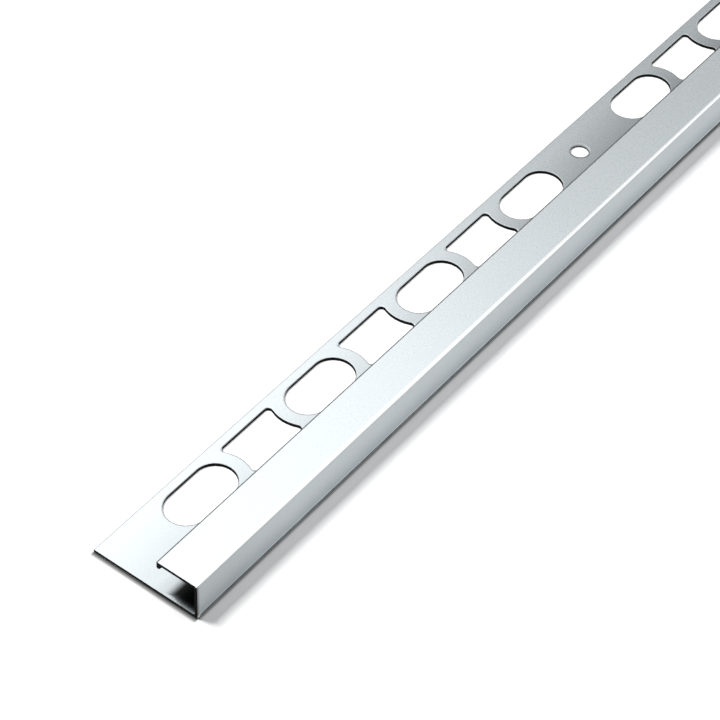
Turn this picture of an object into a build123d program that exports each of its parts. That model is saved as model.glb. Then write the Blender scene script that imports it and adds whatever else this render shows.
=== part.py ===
from build123d import *

import os

# Box-edge tile trim: one extruded aluminium bar with a perforated anchoring leg.
# The bar runs along X and lies on its leg. The visible wall stands at -Y, the leg's
# free edge is at +Y, and the origin is the middle of the underside. Millimetres.

# Section
bar_length = 1000.0
total_width = 28.0
total_height = 10.0
flange_width = 10.7
wall_thickness = 0.8
flange_thickness = 0.8
leg_thickness = 0.75

# Lip under the flange's free edge
lip_depth = 1.9  # below the top face
lip_root_width = 1.45
lip_tip_width = 0.65

# Rounded edges of the section
nose_radius = 0.8  # wall to top face
heel_radius = 0.3  # wall to underside
inside_radius = 0.4  # both corners inside the channel
lip_radius = 0.3
leg_edge_radius = 0.2
flange_edge_radius = 0.15

# Punched pattern of the leg, one group of openings after another
end_land = 15.85  # plain leg before the first slot and after the last opening
leg_margin = 2.35  # from the leg's free edge to the openings
slot_pitch = 40.9
slot_length = 19.3
slot_width = 10.0
rib_width = 3.6  # between a slot and the window beside it
window_corner = 1.0
punch_roll = 0.12  # rolled upper edge of the slots and windows
screw_hole_radius = 2.3
screw_hole_step = 20.8  # from the last slot of a group to its screw hole
group_step = 170.8
group_slot_count = 4

# Places in the section
wall_face_y = -total_width / 2
leg_edge_y = total_width / 2
wall_inside_y = wall_face_y + wall_thickness
flange_edge_y = wall_face_y + flange_width
flange_under_z = total_height - flange_thickness
lip_tip_z = total_height - lip_depth
punch_line_y = leg_edge_y - leg_margin - slot_width / 2

# Places along the bar. The last group stops where the far end's land begins.
first_slot_x = -bar_length / 2 + end_land + slot_length / 2
land_x = bar_length / 2 - end_land
groups = [first_slot_x + i * group_step for i in range(int(bar_length // group_step) + 1)]
slot_xs = [x + i * slot_pitch for x in groups for i in range(group_slot_count)]
window_xs = [x + (i + 0.5) * slot_pitch for x in groups for i in range(group_slot_count - 1)]
screw_xs = [x + (group_slot_count - 1) * slot_pitch + screw_hole_step for x in groups]

# The ends of a window are arcs about the round ends of the slots beside it
slot_end_centre = (slot_length - slot_width) / 2
window_arc_centre = slot_pitch / 2 - slot_end_centre
window_arc_radius = slot_width / 2 + rib_width
half_gap = (slot_pitch - slot_length) / 2  # of the gap between two slots, which holds a window


def corner(sketch, y, z):
    """The vertex of the section nearest to this place."""
    return sketch.vertices().sort_by_distance((y, z, 0))[0]


def punched(xs, half_length):
    """Centres on the punch line, as far as the openings end before the land."""
    return [(x, punch_line_y) for x in xs if x + half_length <= land_x]


# One window, about its own centre
with BuildSketch() as window:
    Rectangle(2 * window_arc_centre, slot_width)
    with Locations((-window_arc_centre, 0), (window_arc_centre, 0)):
        Circle(window_arc_radius, mode=Mode.SUBTRACT)
    fillet(window.vertices(), radius=window_corner)

with BuildPart() as edge_trim:
    # The extruded section: leg, wall, flange and lip
    with BuildSketch(Plane.YZ.offset(-bar_length / 2)) as section:
        Rectangle(total_width, leg_thickness, align=(Align.CENTER, Align.MIN))
        with Locations((wall_face_y, 0)):
            Rectangle(wall_thickness, total_height, align=(Align.MIN, Align.MIN))
        with Locations((wall_face_y, total_height)):
            Rectangle(flange_width, flange_thickness, align=(Align.MIN, Align.MAX))
        with BuildLine():
            Polyline(
                (flange_edge_y, flange_under_z),
                (flange_edge_y, lip_tip_z),
                (flange_edge_y - lip_tip_width, lip_tip_z),
                (flange_edge_y - lip_root_width, flange_under_z),
                close=True,
            )
        make_face()
        fillet(corner(section, wall_face_y, total_height), radius=nose_radius)
        fillet(corner(section, wall_face_y, 0), radius=heel_radius)
        fillet(corner(section, wall_inside_y, flange_under_z), radius=inside_radius)
        fillet(corner(section, wall_inside_y, leg_thickness), radius=inside_radius)
        fillet(corner(section, flange_edge_y, total_height), radius=flange_edge_radius)
        tip_radius = min(lip_radius, 0.45 * lip_tip_width)
        fillet(corner(section, flange_edge_y, lip_tip_z), radius=tip_radius)
        fillet(corner(section, flange_edge_y - lip_tip_width, lip_tip_z), radius=tip_radius)
        fillet(corner(section, leg_edge_y, 0), radius=leg_edge_radius)
        fillet(corner(section, leg_edge_y, leg_thickness), radius=leg_edge_radius)
    extrude(amount=bar_length)

    # Long slots
    with BuildSketch():
        with Locations(*punched(slot_xs, slot_length / 2)):
            SlotOverall(slot_length, slot_width)
    extrude(amount=leg_thickness, mode=Mode.SUBTRACT)

    # Windows with hollowed ends between the slots of a group
    with BuildSketch():
        with Locations(*punched(window_xs, half_gap)):
            add(window.sketch)
    extrude(amount=leg_thickness, mode=Mode.SUBTRACT)

    # The punch leaves their upper edges slightly rolled
    bed = edge_trim.faces().filter_by(Axis.Z).sort_by_distance((0, leg_edge_y, leg_thickness))[0]
    chamfer(bed.inner_wires().edges(), length=punch_roll)

    # One screw hole between a group and the next
    with BuildSketch():
        with Locations(*punched(screw_xs, screw_hole_radius)):
            Circle(screw_hole_radius)
    extrude(amount=leg_thickness, mode=Mode.SUBTRACT)

edge_trim.part.label = "edge_trim"

os.makedirs("parts", exist_ok=True)
export_step(edge_trim.part, "parts/edge_trim.step")
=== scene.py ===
import math

import bmesh
import bpy
from mathutils import Matrix, Vector


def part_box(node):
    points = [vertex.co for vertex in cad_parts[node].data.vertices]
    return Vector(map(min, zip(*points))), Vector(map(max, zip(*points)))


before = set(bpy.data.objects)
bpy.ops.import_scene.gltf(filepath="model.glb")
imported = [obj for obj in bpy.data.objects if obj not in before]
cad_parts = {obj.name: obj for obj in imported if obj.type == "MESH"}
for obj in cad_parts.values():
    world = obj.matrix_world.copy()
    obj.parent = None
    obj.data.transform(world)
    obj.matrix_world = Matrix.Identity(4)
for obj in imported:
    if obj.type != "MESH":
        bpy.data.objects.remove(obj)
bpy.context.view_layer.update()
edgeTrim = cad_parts["edge_trim"]
trimLow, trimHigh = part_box("edge_trim")
halfLength = trimHigh.x
scene = bpy.context.scene
print("frame loaded, bar of", round(2 * halfLength, 3), "m")


def newTree(owner):
    owner.use_nodes = True
    owner.node_tree.nodes.clear()
    return owner.node_tree


def addNode(tree, kind, settings=None, **inputs):
    # kind without its ShaderNode prefix; an input is a value or another node's socket
    node = tree.nodes.new("ShaderNode" + kind)
    for name, value in (settings or {}).items():
        setattr(node, name, value)
    for name, value in inputs.items():
        socket = node.inputs[int(name[1:]) if name[1:].isdigit() else name.replace("_", " ")]
        if isinstance(value, bpy.types.NodeSocket):
            tree.links.new(value, socket)
        else:
            socket.default_value = value
    return node


def maths(tree, operation, *values, clamp=False):
    inputs = {f"i{i}": value for i, value in enumerate(values)}
    return addNode(tree, "Math", {"operation": operation, "use_clamp": clamp}, **inputs).outputs[0]


def chained(tree, operation, *values):
    result = values[0]
    for value in values[1:]:
        result = maths(tree, operation, result, value)
    return result


def product(tree, *values):
    return chained(tree, "MULTIPLY", *values)


def total(tree, *values):
    return chained(tree, "ADD", *values)


def above(tree, value, limit):
    return maths(tree, "GREATER_THAN", value, limit)


def below(tree, value, limit):
    return maths(tree, "LESS_THAN", value, limit)


def between(tree, value, low, high):
    return product(tree, above(tree, value, low), below(tree, value, high))


def ramp(tree, value, start, end, low=0.0, high=1.0, kind="SMOOTHSTEP"):
    # low before start, high after end, soft between them
    return addNode(tree, "MapRange", {"interpolation_type": kind}, i0=value, i1=start, i2=end,
                   i3=low, i4=high).outputs[0]


def mixed(tree, share, first, second):
    return addNode(tree, "Mix", i0=share, i2=first, i3=second).outputs[0]


def onlyOn(tree, mask, factor):
    # the factor where the mask is 1, and 1 elsewhere
    return mixed(tree, mask, 1.0, factor)


def mixColour(tree, share, first, second):
    return addNode(tree, "Mix", {"data_type": "RGBA"}, i0=share, i6=first, i7=second).outputs[2]


def scaled(tree, colour, factor):
    start = colour if isinstance(colour, bpy.types.NodeSocket) else colour[:3]
    return addNode(tree, "VectorMath", {"operation": "SCALE"}, i0=start, i3=factor).outputs[0]


def lengthOf(tree, x, y):
    flat = addNode(tree, "CombineXYZ", i0=x, i1=y).outputs[0]
    return addNode(tree, "VectorMath", {"operation": "LENGTH"}, i0=flat).outputs["Value"]


# Camera at the photo's angle, aimed at a point of the floor

photoView = {
    "lens": 122.509,
    "sensorWidth": 36.0,
    "clip": (0.01, 50.0),
    "aim": (-0.421168, 0.005153, 0.0),
    "distance": 0.547126,
    "azimuth": -54.662,
    "elevation": 45.707,
    "roll": 2.997,
}


def setCamera(v):
    turn = (Matrix.Rotation(math.radians(v["azimuth"]), 4, "Z")
            @ Matrix.Rotation(math.radians(90 - v["elevation"]), 4, "X")
            @ Matrix.Rotation(math.radians(v["roll"]), 4, "Z"))
    camera = bpy.data.cameras.new("photoCamera")
    camera.sensor_width = v["sensorWidth"]
    camera.lens = v["lens"]
    camera.clip_start, camera.clip_end = v["clip"]
    holder = bpy.data.objects.new("photoCamera", camera)
    scene.collection.objects.link(holder)
    back = Matrix.Translation((0, 0, v["distance"]))
    holder.matrix_world = Matrix.Translation(v["aim"]) @ turn @ back
    scene.camera = holder


setCamera(photoView)
print("camera set")


# Studio: white world, dark cards that only the metal shows, pale floor, soft lamps
# Four numbers are a ramp: from and to in metres, then the value before and after

studio = {
    "skyLight": 0.157,  # what the white world gives to the floor and to matt surfaces
    "floorSize": 12.0,
    "floorDrop": 0.00002,  # keeps the floor clear of the leg's underside
    "floorColour": 0.80,
    "wallContact": (-0.0002, 0.00085, 0.22, 1.0),  # by the distance from the wall's face
    "endContact": (0.0005, 0.0014, 0.27, 1.0),  # by the distance from a sawn end
    "endLine": (0.0001, 0.0005, 0.3, 1.0),
    "endContactSides": (-0.0002, 0.0003, 1.0, 0.0),
    "awayFill": (0.04, 0.3, 0.0, 1.0),  # keeps the floor white away from the lamps
    "pastMiddleFill": (0.0, 0.45, 0.0, 0.22),
    "openingFill": 0.2,
    "openingBand": (0.001, 0.0125),
}
cards = {
    "beyondFarEnd": {"azimuth": 40.0, "elevation": 8.0, "inner": 15.0, "outer": 42.0, "shade": 1.0},
    "overhead": {"azimuth": 180.0, "elevation": 74.0, "inner": 3.0, "outer": 30.0, "shade": 0.6},
}
lamps = {
    "keyLamp": {"at": (-0.65, 0.68, 1.5), "size": (0.4, 0.45), "power": 29.0, "inMetal": False},
    "topLamp": {"at": (0.25, -0.05, 1.6), "size": (2.4, 0.5), "power": 8.5, "inMetal": False},
    "frontLamp": {"at": (0.1, -0.85, 1.3), "size": (2.2, 0.9), "power": 3.6, "inMetal": True},
    "backLamp": {"at": (0.44, 0.95, 1.5), "size": (1.09, 0.8), "power": 3.1, "inMetal": True},
}


def seenRay(tree):
    # 1 for the rays that show the background: camera, mirror and glass rays
    path = addNode(tree, "LightPath").outputs
    return chained(tree, "MAXIMUM", path["Is Camera Ray"], path["Is Glossy Ray"],
                   path["Is Transmission Ray"])


def softCard(tree, ray, s):
    toCard = (Matrix.Rotation(math.radians(s["azimuth"]), 3, "Z")
              @ Matrix.Rotation(-math.radians(s["elevation"]), 3, "Y") @ Vector((1, 0, 0)))
    towards = addNode(tree, "VectorMath", {"operation": "DOT_PRODUCT"}, i0=ray, i1=toCard)
    outer, inner = (math.cos(math.radians(s[name])) for name in ("outer", "inner"))
    return ramp(tree, towards.outputs["Value"], outer, inner, 0.0, s["shade"])


def makeWorld(s, cardSettings):
    world = bpy.data.worlds.new("whiteStudio")
    scene.world = world
    tree = newTree(world)
    ray = addNode(tree, "TexCoord").outputs["Generated"]
    dark = chained(tree, "MAXIMUM", *(softCard(tree, ray, card) for card in cardSettings.values()))
    glossy = addNode(tree, "LightPath").outputs["Is Glossy Ray"]
    white = maths(tree, "SUBTRACT", 1.0, product(tree, dark, glossy))
    strength = maths(tree, "MAXIMUM", product(tree, seenRay(tree), white), s["skyLight"])
    sky = addNode(tree, "Background", Color=(1, 1, 1, 1), Strength=strength)
    out = addNode(tree, "OutputWorld")
    tree.links.new(sky.outputs[0], out.inputs["Surface"])


def makeFloor(s):
    mesh = bpy.data.meshes.new("floor")
    shape = bmesh.new()
    bmesh.ops.create_grid(shape, x_segments=1, y_segments=1, size=s["floorSize"] / 2)
    shape.to_mesh(mesh)
    shape.free()
    floor = bpy.data.objects.new("floor", mesh)
    scene.collection.objects.link(floor)
    floor.location.z = -s["floorDrop"]
    material = bpy.data.materials.new("paleFloor")
    tree = newTree(material)
    px, py = addNode(tree, "SeparateXYZ", i0=addNode(tree, "TexCoord").outputs["Object"]).outputs[:2]

    # Contact shade at the foot of the wall and of the sawn ends
    besideWall = ramp(tree, maths(tree, "SUBTRACT", trimLow.y, py), *s["wallContact"])
    besideWall = maths(tree, "MAXIMUM", besideWall, above(tree, py, 0.0))
    fromEnd = maths(tree, "SUBTRACT", maths(tree, "ABSOLUTE", px), halfLength)
    fromSide = maths(tree, "SUBTRACT", maths(tree, "ABSOLUTE", py), trimHigh.y)
    beyondEnd = product(tree, ramp(tree, fromEnd, *s["endContact"]), ramp(tree, fromEnd, *s["endLine"]))
    beyondEnd = onlyOn(tree, ramp(tree, fromSide, *s["endContactSides"]), beyondEnd)
    alongBar = below(tree, fromEnd, 0.0)
    shade = mixed(tree, alongBar, beyondEnd, besideWall)
    matt = addNode(tree, "BsdfDiffuse", Color=product(tree, shade, s["floorColour"]))

    # White fill, only for the rays that show the floor
    away = ramp(tree, lengthOf(tree, maths(tree, "MAXIMUM", fromEnd, 0.0), py), *s["awayFill"])
    pastMiddle = ramp(tree, px, *s["pastMiddleFill"])
    inOpenings = product(tree, alongBar, between(tree, py, *s["openingBand"]), s["openingFill"])
    strength = chained(tree, "MAXIMUM", away, pastMiddle, inOpenings)
    fill = addNode(tree, "Emission", Color=(1, 1, 1, 1), Strength=product(tree, seenRay(tree), strength))
    both = addNode(tree, "AddShader", i0=matt.outputs[0], i1=fill.outputs[0])
    out = addNode(tree, "OutputMaterial")
    tree.links.new(both.outputs[0], out.inputs["Surface"])
    mesh.materials.append(material)


def addLamp(name, s):
    light = bpy.data.lights.new(name, "AREA")
    light.shape = "RECTANGLE"
    light.size, light.size_y = s["size"]
    light.energy = s["power"]
    lamp = bpy.data.objects.new(name, light)
    scene.collection.objects.link(lamp)
    lamp.location = s["at"]
    aim = Vector((s["at"][0], 0, 0)) - Vector(s["at"])  # square to the bar
    lamp.rotation_euler = aim.to_track_quat("-Z", "Y").to_euler()
    lamp.visible_camera = False
    lamp.visible_glossy = s["inMetal"]


makeWorld(studio, cards)
makeFloor(studio)
for lampName, lampSettings in lamps.items():
    addLamp(lampName, lampSettings)
scene.view_settings.view_transform = "Standard"
print("studio lit")


# Where the punch has cut the leg, in metres, each group counted from its first slot's centre

punching = {
    "firstX": -0.4745,
    "lastX": 0.4712,
    "lineY": 0.00665,
    "groupStep": 0.1708,
    "groupStart": -0.0173,
    "pitch": 0.0409,
    "slots": 4,
    "slotHalf": 0.00465,
    "slotRadius": 0.005,
    "windows": 3,
    "arcX": 0.0158,
    "arcRadius": 0.0086,
    "windowCorner": 0.0030,
    "holeX": 0.1435,
    "holeRadius": 0.0023,
}


def punchedDistance(tree, px, py, s):
    # how far a place on the leg is from the nearest slot or window, and from the nearest screw hole
    fromFirst = maths(tree, "SUBTRACT", px, s["firstX"] + s["groupStart"])
    along = maths(tree, "FLOORED_MODULO", fromFirst, s["groupStep"])
    along = maths(tree, "ADD", along, s["groupStart"])
    across = maths(tree, "SUBTRACT", py, s["lineY"])

    def nearest(offset, count):
        shifted = maths(tree, "SUBTRACT", along, offset)
        index = maths(tree, "ROUND", maths(tree, "DIVIDE", shifted, s["pitch"]))
        index = maths(tree, "MINIMUM", maths(tree, "MAXIMUM", index, 0.0), count - 1.0)
        centre = product(tree, index, s["pitch"])
        return maths(tree, "ABSOLUTE", maths(tree, "SUBTRACT", shifted, centre))

    slotX = maths(tree, "SUBTRACT", nearest(0.0, s["slots"]), s["slotHalf"])
    slotX = maths(tree, "MAXIMUM", slotX, 0.0)
    fromSlot = maths(tree, "SUBTRACT", lengthOf(tree, slotX, across), s["slotRadius"])
    windowX = maths(tree, "SUBTRACT", nearest(s["pitch"] / 2, s["windows"]), s["arcX"])
    fromSide = maths(tree, "SUBTRACT", maths(tree, "ABSOLUTE", across), s["slotRadius"])
    insideArc = maths(tree, "SUBTRACT", s["arcRadius"], lengthOf(tree, windowX, across))
    fromArc = maths(tree, "MAXIMUM", windowX, insideArc)
    fromWindow = maths(tree, "SMOOTH_MAX", fromSide, fromArc, s["windowCorner"])
    holeX = maths(tree, "SUBTRACT", along, s["holeX"])
    fromHole = maths(tree, "SUBTRACT", lengthOf(tree, holeX, across), s["holeRadius"])
    return maths(tree, "MINIMUM", fromSlot, fromWindow), fromHole


# Satin anodised aluminium, with sawn ends and sheared punchings
# Four numbers are a ramp: from and to in metres, then the value before and after

anodised = {
    "colour": (0.605, 0.648, 0.669, 1),
    "metallic": 0.85,
    "roughness": 0.28,
    "grain": {"Scale": 1500.0, "Detail": 1.5, "Roughness": 0.6},
    "grainColour": 0.115,
    "grainRoughness": 0.05,
    "drawn": {"Scale": 1.0, "Detail": 2.0, "Roughness": 0.5},
    "drawnStretch": (3.0, 1800.0, 1800.0),  # lines that the die leaves along the bar
    "drawnColour": 0.03,
    "drawnRoughness": 0.03,
    "cloud": {"Scale": 35.0, "Detail": 1.0, "Roughness": 0.5},
    "cloudColour": 0.04,
    "bumpHeight": 0.0008,  # mm
    # Soft edges round the openings and along the free edges
    "rollWidth": 0.00036,
    "rollDepth": 0.08,  # mm
    "rollNormal": 0.7,
    "freeEdgeNarrow": 2.0,  # the roll is that much narrower along the leg's free edge
    "holeNarrow": 0.7,
    # Painted shade: dark lines along the free edges and round the screw hole
    "freeEdgeLine": (0.0001, 0.0004, 0.7, 1.0),
    "holeEdgeLine": (0.0001, 0.00045, 0.7, 1.0),
    "flangeTop": 0.0095,
    "flangeEdge": -0.0033,
    "flangeEdgeLine": (0.00018, 0.00042, 0.1, 1.0),
    # The wall's painted light and shade, by the height over the floor, and by the distance from the sawn
    # end
    "wallDepth": 0.0005,
    "wallNormal": 0.3,
    # Painted shade over the whole wall
    "wallPaintedShade": 0.967,
    "wallRise": (0.0015, 0.0065, 1.08, 1.0),  # painted light: brighter towards the foot
    # Painted shade high up and under the nose
    "wallTop": (0.0060, 0.0075, 1.0, 0.95),
    "wallCrown": (0.0090, 0.0096, 1.0, 0.88),
    # Painted shade under the heel, and painted light just above it
    "wallHeel": (0.0001, 0.0004, 0.75, 1.0),
    "wallFoot": (0.0007, 0.0014, 1.55, 1.0),
    "wallRim": (0.0001, 0.0008, 0.45, 1.0),  # painted shade: darker close to the sawn end
    "wallEnd": (0.002, 0.035, 0.84, 1.0),  # painted shade: darker towards the ends
    "wallRoughness": (0.0006, 0.0016, 0.9, 0.5),
    # The nose: a lighter colour on its rounded top edge, a painted highlight
    "noseDepth": (0.0011, 0.0008, 0.0, 1.0),
    "noseHeight": 0.0092,
    "noseNormal": (0.62, 0.86, 0.0, 1.0),
    "paintedNoseHighlight": (0.90, 0.92, 0.93, 1),
    "noseRoughness": 0.27,
    # The leg: painted shade, darker towards the channel, and more so further along the bar
    "legTop": 0.0008,
    "legMiddle": 0.0004,
    "legAcross": (0.001, 0.0115),
    "legAlong": (-0.44, -0.30),
    "legInnerShade": (0.835, 0.56),
    "legOuterShade": (0.975, 0.88),
    # Inside the channel, by the distance from the bar's middle line: painted shade, with painted light
    # at the cut ends
    "mouth": (-0.0045, -0.0015, 0.88, 1.0),
    "inside": (-0.0071, -0.0044, 0.0, 1.0),
    "insideShade": 0.01,
    "insideGlow": 5.0,  # painted light at a cut end, fading over this length
    "insideGlowLength": 0.00036,
    "insideGlowMost": (-0.0090, -0.0065, 2.3, 1.0),
    # The channel's inner faces: painted shade
    "hollowHeight": (0.0010, 0.0093),
    "hollowDepth": (0.00075, 0.0105),
    "hollowShade": 0.3,
    # Sawn ends, near black: painted shade
    "cutNormal": 0.95,
    "cutDepth": 0.0005,
    "cutColour": (0.004, 0.004, 0.004, 1),
    "cutRoughness": 0.5,
    "saw": {"Scale": 900.0, "Distortion": 3.0, "Detail": 2.0},
    "sawLeast": 0.6,
    "sawDepth": 0.004,  # mm
    "tornLean": -900.0,  # mm a metre: the torn faces lean back and show no sheen
    # Punchings, with rolled upper edges, and burnished by the punch at the top of the screw holes
    "punchedBand": (0.0012, 0.0121),
    "punchedEnd": 0.002,
    "punchedNormal": 0.5,
    # Near black sheared faces: painted shade
    "punchedColour": (0.003, 0.003, 0.003, 1),
    "punchedRise": (0.0002, 0.0006, 0.7, 1.3),
    "punchedRoughness": 0.5,
    "rolledNormal": 0.95,
    "rolledColour": (0.32, 0.33, 0.34, 1),
    "rolledTone": (-0.5, -0.1, 0.06, 1.0),  # by the normal: painted shade, darker where it faces the near end
    "rolledRoughness": 0.2,
    "burnishedReach": 0.0005,
    "burnishedHeight": (0.00030, 0.00040, 0.0, 1.0),
    "burnishedColour": (0.32, 0.33, 0.34, 1),
}


def finishTrim(s, openings):
    material = bpy.data.materials.new("satinAnodised")
    tree = newTree(material)
    coords = addNode(tree, "TexCoord").outputs
    place = coords["Object"]
    px, py, pz = addNode(tree, "SeparateXYZ", i0=place).outputs
    nx, ny, nz = addNode(tree, "SeparateXYZ", i0=coords["Normal"]).outputs

    def size(value):
        return maths(tree, "ABSOLUTE", value)

    def around(noise, share):
        return product(tree, maths(tree, "SUBTRACT", noise, 0.5), share)

    # Where each finish is
    fromEnd = maths(tree, "SUBTRACT", halfLength, size(px))
    fromFace = maths(tree, "SUBTRACT", py, trimLow.y)
    fromFreeEdge = maths(tree, "SUBTRACT", trimHigh.y, py)
    fromOpening, fromHole = punchedDistance(tree, px, py, openings)
    cutEnd = product(tree, above(tree, size(nx), s["cutNormal"]), below(tree, fromEnd, s["cutDepth"]))
    onFlange = above(tree, pz, s["flangeTop"])
    onLeg = below(tree, pz, s["legTop"])
    inZone = product(tree, onLeg, between(tree, py, *s["punchedBand"]),
                     above(tree, fromEnd, s["punchedEnd"]), below(tree, px, openings["lastX"]))
    punched = product(tree, inZone, below(tree, size(nz), s["punchedNormal"]))
    rolled = product(tree, inZone, between(tree, nz, s["punchedNormal"], s["rolledNormal"]))
    wall = product(tree, below(tree, fromFace, s["wallDepth"]), above(tree, size(ny), s["wallNormal"]))
    # The nose mask: where the highlight is painted
    nose = product(tree, ramp(tree, fromFace, *s["noseDepth"]), above(tree, pz, s["noseHeight"]),
                   ramp(tree, nz, *s["noseNormal"]))
    hollow = product(tree, between(tree, pz, *s["hollowHeight"]),
                     between(tree, fromFace, *s["hollowDepth"]))

    # Etched grain, drawn lines and a soft cloudiness
    grain = addNode(tree, "TexNoise", Vector=place, **s["grain"]).outputs["Fac"]
    drawnPlace = addNode(tree, "Mapping", Vector=place, Scale=s["drawnStretch"]).outputs[0]
    drawn = addNode(tree, "TexNoise", Vector=drawnPlace, **s["drawn"]).outputs["Fac"]
    cloud = addNode(tree, "TexNoise", Vector=place, **s["cloud"]).outputs["Fac"]
    tone = total(tree, around(grain, s["grainColour"]), around(cloud, s["cloudColour"]),
                 around(drawn, s["drawnColour"]), 1.0)

    # Soft edges: the top faces fall away over the last part of a millimetre
    legEdge = product(tree, fromFreeEdge, s["freeEdgeNarrow"])
    edge = mixed(tree, onFlange, legEdge, maths(tree, "SUBTRACT", s["flangeEdge"], py))
    openingEdge = maths(tree, "MINIMUM", fromOpening, product(tree, fromHole, s["holeNarrow"]))
    edge = maths(tree, "MINIMUM", edge, onlyOn(tree, inZone, openingEdge))
    lift = maths(tree, "SUBTRACT", 1.0, maths(tree, "DIVIDE", edge, s["rollWidth"]), clamp=True)
    roll = product(tree, lift, lift, above(tree, nz, s["rollNormal"]), -s["rollDepth"])
    # Painted shade: dark lines along the free edges and round the screw hole
    legEdgeTone = product(tree, ramp(tree, fromFreeEdge, *s["freeEdgeLine"]),
                          ramp(tree, onlyOn(tree, inZone, fromHole), *s["holeEdgeLine"]))
    edgeTone = mixed(tree, onFlange, legEdgeTone, ramp(tree, edge, *s["flangeEdgeLine"]))

    # The wall's painted light and shade: brighter low down, dark under its heel, darker high up and
    # towards the ends
    wallTone = product(tree, s["wallPaintedShade"],
                       *(ramp(tree, pz, *s[name])
                         for name in ("wallRise", "wallTop", "wallCrown", "wallHeel", "wallFoot")),
                       *(ramp(tree, fromEnd, *s[name]) for name in ("wallRim", "wallEnd")))

    # The leg: painted shade, darker towards the channel and dark inside it, with painted light at the
    # cut ends
    innerShade = ramp(tree, px, *s["legAlong"], *s["legInnerShade"])
    outerShade = ramp(tree, px, *s["legAlong"], *s["legOuterShade"])
    legTone = ramp(tree, py, *s["legAcross"], innerShade, outerShade, kind="LINEAR")
    fade = maths(tree, "EXPONENT", maths(tree, "DIVIDE", fromEnd, -s["insideGlowLength"]))
    glow = maths(tree, "MAXIMUM", product(tree, fade, s["insideGlow"]), s["insideShade"])
    glow = maths(tree, "MINIMUM", glow, ramp(tree, py, *s["insideGlowMost"]))
    insideTone = maths(tree, "MAXIMUM", ramp(tree, py, *s["inside"]), glow)
    insideTone = product(tree, insideTone, ramp(tree, py, *s["mouth"]))
    legTone = product(tree, legTone, onlyOn(tree, above(tree, pz, s["legMiddle"]), insideTone))

    tone = product(tree, tone, edgeTone, onlyOn(tree, wall, wallTone), onlyOn(tree, onLeg, legTone),
                   onlyOn(tree, hollow, s["hollowShade"]))
    colour = scaled(tree, s["colour"], tone)
    # Painted highlight on the nose
    colour = mixColour(tree, nose, colour, s["paintedNoseHighlight"])
    # Painted shade on the rolled rims that face the near end
    rolledColour = scaled(tree, s["rolledColour"], ramp(tree, nx, *s["rolledTone"]))
    colour = mixColour(tree, rolled, colour, rolledColour)

    # Sawn ends and sheared faces: near black, a painted shade, lighter where burnished
    saw = addNode(tree, "TexWave", {"wave_type": "BANDS", "bands_direction": "DIAGONAL"},
                  Vector=place, **s["saw"]).outputs["Fac"]
    cutColour = scaled(tree, s["cutColour"], maths(tree, "ADD", s["sawLeast"], saw))
    colour = mixColour(tree, cutEnd, colour, cutColour)
    burnished = product(tree, below(tree, fromHole, s["burnishedReach"]),
                        ramp(tree, pz, *s["burnishedHeight"]))
    sheared = mixColour(tree, burnished, s["punchedColour"], s["burnishedColour"])
    sheared = scaled(tree, sheared, ramp(tree, pz, *s["punchedRise"]))
    colour = mixColour(tree, punched, colour, sheared)

    roughness = total(tree, around(grain, s["grainRoughness"]), around(drawn, s["drawnRoughness"]),
                      s["roughness"])
    roughness = mixed(tree, wall, roughness, ramp(tree, pz, *s["wallRoughness"]))
    for mask, value in ((nose, s["noseRoughness"]), (rolled, s["rolledRoughness"]),
                        (cutEnd, s["cutRoughness"]), (punched, s["punchedRoughness"])):
        roughness = mixed(tree, mask, roughness, value)

    # Relief, in mm
    leaning = product(tree, pz, maths(tree, "MAXIMUM", cutEnd, punched), s["tornLean"])
    height = total(tree, roll, product(tree, grain, s["bumpHeight"]),
                   product(tree, drawn, s["bumpHeight"]), product(tree, saw, cutEnd, s["sawDepth"]),
                   leaning)
    bump = addNode(tree, "Bump", Height=height, Strength=1.0, Distance=0.001).outputs[0]

    metal = addNode(tree, "BsdfPrincipled", Base_Color=colour, Metallic=s["metallic"],
                    Roughness=roughness, Normal=bump)
    out = addNode(tree, "OutputMaterial")
    tree.links.new(metal.outputs[0], out.inputs["Surface"])
    edgeTrim.material_slots[0].material = material


finishTrim(anodised, punching)
print("trim finished")
